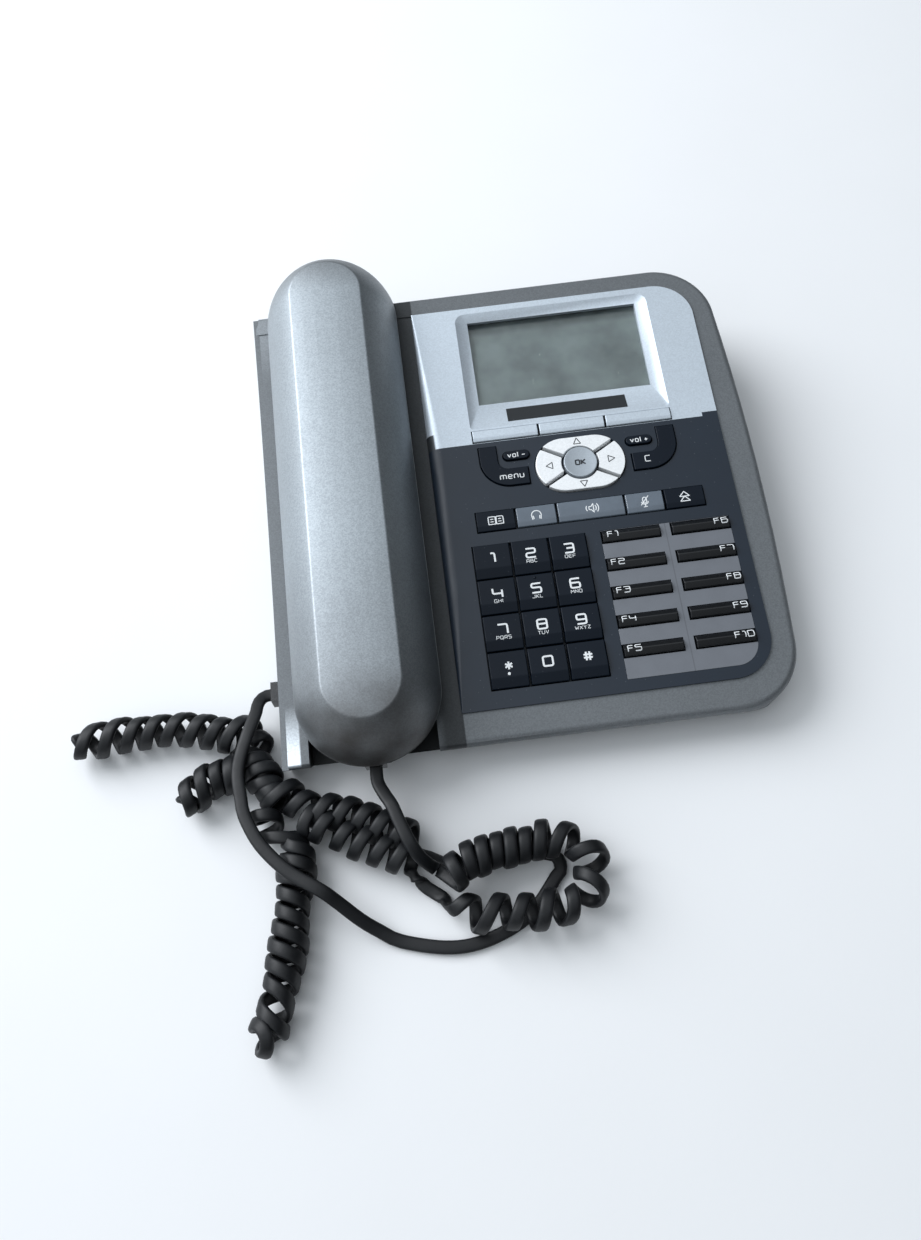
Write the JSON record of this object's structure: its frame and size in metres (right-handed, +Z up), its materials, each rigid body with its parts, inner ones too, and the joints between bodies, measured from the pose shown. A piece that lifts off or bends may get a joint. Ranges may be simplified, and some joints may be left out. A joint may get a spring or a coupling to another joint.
{
  "type": "corded desk telephone",
  "caption": "Corded desk telephone: wedge base with display, navigation and dial keys, a lift-off handset in a cradle and a curly cord lying on the table.",
  "frame": {"origin": "centre of the footprint of base and handset, at the height of the table", "axes": "+X to the user's right, +Y away from the user, +Z up"},
  "size_m": [0.2841, 0.3019, 0.0666],
  "materials": {
    "base_plastic": "grey metallic lacquer",
    "silver_plastic": "satin blue-silver lacquer",
    "navy_plastic": "satin navy black",
    "handset_plastic": "silver metallic lacquer",
    "window": "clear acrylic",
    "lcd_glass": "grey-green display",
    "circuit_laminate": "green solder mask",
    "silicone": "matte",
    "label_cover": "clear cover over a bare grey card",
    "foot_rubber": "matte",
    "driver_steel": "plated",
    "plug_plastic": "black",
    "cord_jacket": "satin black jacket",
    "silver_keys": "satin silver",
    "navy_keys": "navy black",
    "smoke_keys": "smoke grey, part clear",
    "gloss_keys": "gloss black"
  },
  "bodies": {
    "base": {"lower_shell": "base_plastic", "upper_housing": "base_plastic", "display_fascia": "silver_plastic", "keypad_fascia": "navy_plastic", "display_window": "window", "lcd_module": "lcd_glass", "circuit_board": "circuit_laminate", "dome_mat": "silicone", "label_cover": "label_cover", "rubber_feet": "foot_rubber", "loudspeaker": "driver_steel", "base_plug": "plug_plastic", "handset_lead": "cord_jacket", "curly_coil": "cord_jacket", "base_lead": "cord_jacket"},
    "handset": {"handset_back": "handset_plastic", "handset_front": "handset_plastic", "receiver_capsule": "driver_steel", "microphone_capsule": "driver_steel", "handset_plug": "plug_plastic"},
    "hook": {"hook_plunger": "plug_plastic"},
    "soft_key_left_body": {"soft_key_left": "silver_keys"},
    "soft_key_middle_body": {"soft_key_middle": "silver_keys"},
    "soft_key_right_body": {"soft_key_right": "silver_keys"},
    "nav_right_body": {"nav_right": "silver_keys"},
    "nav_up_body": {"nav_up": "silver_keys"},
    "nav_left_body": {"nav_left": "silver_keys"},
    "nav_down_body": {"nav_down": "silver_keys"},
    "ok_key_body": {"ok_key": "silver_keys"},
    "volume_down_body": {"volume_down": "navy_keys"},
    "volume_up_body": {"volume_up": "navy_keys"},
    "menu_key_body": {"menu_key": "navy_keys"},
    "clear_key_body": {"clear_key": "navy_keys"},
    "phonebook_key_body": {"phonebook_key": "navy_keys"},
    "headset_key_body": {"headset_key": "smoke_keys"},
    "speaker_key_body": {"speaker_key": "smoke_keys"},
    "mute_key_body": {"mute_key": "smoke_keys"},
    "shift_key_body": {"shift_key": "navy_keys"},
    "key_1_body": {"key_1": "navy_keys"},
    "key_2_body": {"key_2": "navy_keys"},
    "key_3_body": {"key_3": "navy_keys"},
    "key_4_body": {"key_4": "navy_keys"},
    "key_5_body": {"key_5": "navy_keys"},
    "key_6_body": {"key_6": "navy_keys"},
    "key_7_body": {"key_7": "navy_keys"},
    "key_8_body": {"key_8": "navy_keys"},
    "key_9_body": {"key_9": "navy_keys"},
    "key_star_body": {"key_star": "navy_keys"},
    "key_0_body": {"key_0": "navy_keys"},
    "key_hash_body": {"key_hash": "navy_keys"},
    "f_key_1_body": {"f_key_1": "gloss_keys"},
    "f_key_2_body": {"f_key_2": "gloss_keys"},
    "f_key_3_body": {"f_key_3": "gloss_keys"},
    "f_key_4_body": {"f_key_4": "gloss_keys"},
    "f_key_5_body": {"f_key_5": "gloss_keys"},
    "f_key_6_body": {"f_key_6": "gloss_keys"},
    "f_key_7_body": {"f_key_7": "gloss_keys"},
    "f_key_8_body": {"f_key_8": "gloss_keys"},
    "f_key_9_body": {"f_key_9": "gloss_keys"},
    "f_key_10_body": {"f_key_10": "gloss_keys"}
  },
  "joints": [
    {"name": "handset_lift", "type": "slide", "parent": "base", "child": "handset", "axis": [0, -0.1219, 0.9925], "range_m": [0, 0.06]},
    {"name": "hook_slide", "type": "slide", "parent": "base", "child": "hook", "axis": [0, -0.1219, 0.9925], "range_m": [0, 0.004]},
    {"name": "press_soft_key_left", "type": "slide", "parent": "base", "child": "soft_key_left_body", "axis": [0, 0.1219, -0.9925], "range_m": [0, 0.001], "stiffness_N_per_m": 400},
    {"name": "press_soft_key_middle", "type": "slide", "parent": "base", "child": "soft_key_middle_body", "axis": [0, 0.1219, -0.9925], "range_m": [0, 0.001], "stiffness_N_per_m": 400},
    {"name": "press_soft_key_right", "type": "slide", "parent": "base", "child": "soft_key_right_body", "axis": [0, 0.1219, -0.9925], "range_m": [0, 0.001], "stiffness_N_per_m": 400},
    {"name": "press_nav_right", "type": "slide", "parent": "base", "child": "nav_right_body", "axis": [0, 0.1219, -0.9925], "range_m": [0, 0.001], "stiffness_N_per_m": 400},
    {"name": "press_nav_up", "type": "slide", "parent": "base", "child": "nav_up_body", "axis": [0, 0.1219, -0.9925], "range_m": [0, 0.001], "stiffness_N_per_m": 400},
    {"name": "press_nav_left", "type": "slide", "parent": "base", "child": "nav_left_body", "axis": [0, 0.1219, -0.9925], "range_m": [0, 0.001], "stiffness_N_per_m": 400},
    {"name": "press_nav_down", "type": "slide", "parent": "base", "child": "nav_down_body", "axis": [0, 0.1219, -0.9925], "range_m": [0, 0.001], "stiffness_N_per_m": 400},
    {"name": "press_ok_key", "type": "slide", "parent": "base", "child": "ok_key_body", "axis": [0, 0.1219, -0.9925], "range_m": [0, 0.001], "stiffness_N_per_m": 400},
    {"name": "press_volume_down", "type": "slide", "parent": "base", "child": "volume_down_body", "axis": [0, 0.1219, -0.9925], "range_m": [0, 0.001], "stiffness_N_per_m": 400},
    {"name": "press_volume_up", "type": "slide", "parent": "base", "child": "volume_up_body", "axis": [0, 0.1219, -0.9925], "range_m": [0, 0.001], "stiffness_N_per_m": 400},
    {"name": "press_menu_key", "type": "slide", "parent": "base", "child": "menu_key_body", "axis": [0, 0.1219, -0.9925], "range_m": [0, 0.001], "stiffness_N_per_m": 400},
    {"name": "press_clear_key", "type": "slide", "parent": "base", "child": "clear_key_body", "axis": [0, 0.1219, -0.9925], "range_m": [0, 0.001], "stiffness_N_per_m": 400},
    {"name": "press_phonebook_key", "type": "slide", "parent": "base", "child": "phonebook_key_body", "axis": [0, 0.1219, -0.9925], "range_m": [0, 0.001], "stiffness_N_per_m": 400},
    {"name": "press_headset_key", "type": "slide", "parent": "base", "child": "headset_key_body", "axis": [0, 0.1219, -0.9925], "range_m": [0, 0.001], "stiffness_N_per_m": 400},
    {"name": "press_speaker_key", "type": "slide", "parent": "base", "child": "speaker_key_body", "axis": [0, 0.1219, -0.9925], "range_m": [0, 0.001], "stiffness_N_per_m": 400},
    {"name": "press_mute_key", "type": "slide", "parent": "base", "child": "mute_key_body", "axis": [0, 0.1219, -0.9925], "range_m": [0, 0.001], "stiffness_N_per_m": 400},
    {"name": "press_shift_key", "type": "slide", "parent": "base", "child": "shift_key_body", "axis": [0, 0.1219, -0.9925], "range_m": [0, 0.001], "stiffness_N_per_m": 400},
    {"name": "press_key_1", "type": "slide", "parent": "base", "child": "key_1_body", "axis": [0, 0.1219, -0.9925], "range_m": [0, 0.001], "stiffness_N_per_m": 400},
    {"name": "press_key_2", "type": "slide", "parent": "base", "child": "key_2_body", "axis": [0, 0.1219, -0.9925], "range_m": [0, 0.001], "stiffness_N_per_m": 400},
    {"name": "press_key_3", "type": "slide", "parent": "base", "child": "key_3_body", "axis": [0, 0.1219, -0.9925], "range_m": [0, 0.001], "stiffness_N_per_m": 400},
    {"name": "press_key_4", "type": "slide", "parent": "base", "child": "key_4_body", "axis": [0, 0.1219, -0.9925], "range_m": [0, 0.001], "stiffness_N_per_m": 400},
    {"name": "press_key_5", "type": "slide", "parent": "base", "child": "key_5_body", "axis": [0, 0.1219, -0.9925], "range_m": [0, 0.001], "stiffness_N_per_m": 400},
    {"name": "press_key_6", "type": "slide", "parent": "base", "child": "key_6_body", "axis": [0, 0.1219, -0.9925], "range_m": [0, 0.001], "stiffness_N_per_m": 400},
    {"name": "press_key_7", "type": "slide", "parent": "base", "child": "key_7_body", "axis": [0, 0.1219, -0.9925], "range_m": [0, 0.001], "stiffness_N_per_m": 400},
    {"name": "press_key_8", "type": "slide", "parent": "base", "child": "key_8_body", "axis": [0, 0.1219, -0.9925], "range_m": [0, 0.001], "stiffness_N_per_m": 400},
    {"name": "press_key_9", "type": "slide", "parent": "base", "child": "key_9_body", "axis": [0, 0.1219, -0.9925], "range_m": [0, 0.001], "stiffness_N_per_m": 400},
    {"name": "press_key_star", "type": "slide", "parent": "base", "child": "key_star_body", "axis": [0, 0.1219, -0.9925], "range_m": [0, 0.001], "stiffness_N_per_m": 400},
    {"name": "press_key_0", "type": "slide", "parent": "base", "child": "key_0_body", "axis": [0, 0.1219, -0.9925], "range_m": [0, 0.001], "stiffness_N_per_m": 400},
    {"name": "press_key_hash", "type": "slide", "parent": "base", "child": "key_hash_body", "axis": [0, 0.1219, -0.9925], "range_m": [0, 0.001], "stiffness_N_per_m": 400},
    {"name": "press_f_key_1", "type": "slide", "parent": "base", "child": "f_key_1_body", "axis": [0, 0.1219, -0.9925], "range_m": [0, 0.001], "stiffness_N_per_m": 400},
    {"name": "press_f_key_2", "type": "slide", "parent": "base", "child": "f_key_2_body", "axis": [0, 0.1219, -0.9925], "range_m": [0, 0.001], "stiffness_N_per_m": 400},
    {"name": "press_f_key_3", "type": "slide", "parent": "base", "child": "f_key_3_body", "axis": [0, 0.1219, -0.9925], "range_m": [0, 0.001], "stiffness_N_per_m": 400},
    {"name": "press_f_key_4", "type": "slide", "parent": "base", "child": "f_key_4_body", "axis": [0, 0.1219, -0.9925], "range_m": [0, 0.001], "stiffness_N_per_m": 400},
    {"name": "press_f_key_5", "type": "slide", "parent": "base", "child": "f_key_5_body", "axis": [0, 0.1219, -0.9925], "range_m": [0, 0.001], "stiffness_N_per_m": 400},
    {"name": "press_f_key_6", "type": "slide", "parent": "base", "child": "f_key_6_body", "axis": [0, 0.1219, -0.9925], "range_m": [0, 0.001], "stiffness_N_per_m": 400},
    {"name": "press_f_key_7", "type": "slide", "parent": "base", "child": "f_key_7_body", "axis": [0, 0.1219, -0.9925], "range_m": [0, 0.001], "stiffness_N_per_m": 400},
    {"name": "press_f_key_8", "type": "slide", "parent": "base", "child": "f_key_8_body", "axis": [0, 0.1219, -0.9925], "range_m": [0, 0.001], "stiffness_N_per_m": 400},
    {"name": "press_f_key_9", "type": "slide", "parent": "base", "child": "f_key_9_body", "axis": [0, 0.1219, -0.9925], "range_m": [0, 0.001], "stiffness_N_per_m": 400},
    {"name": "press_f_key_10", "type": "slide", "parent": "base", "child": "f_key_10_body", "axis": [0, 0.1219, -0.9925], "range_m": [0, 0.001], "stiffness_N_per_m": 400}
  ],
  "couplings": [
    {"joint": "hook_slide", "follows": "handset_lift", "ratio": 0.0666}
  ]
}
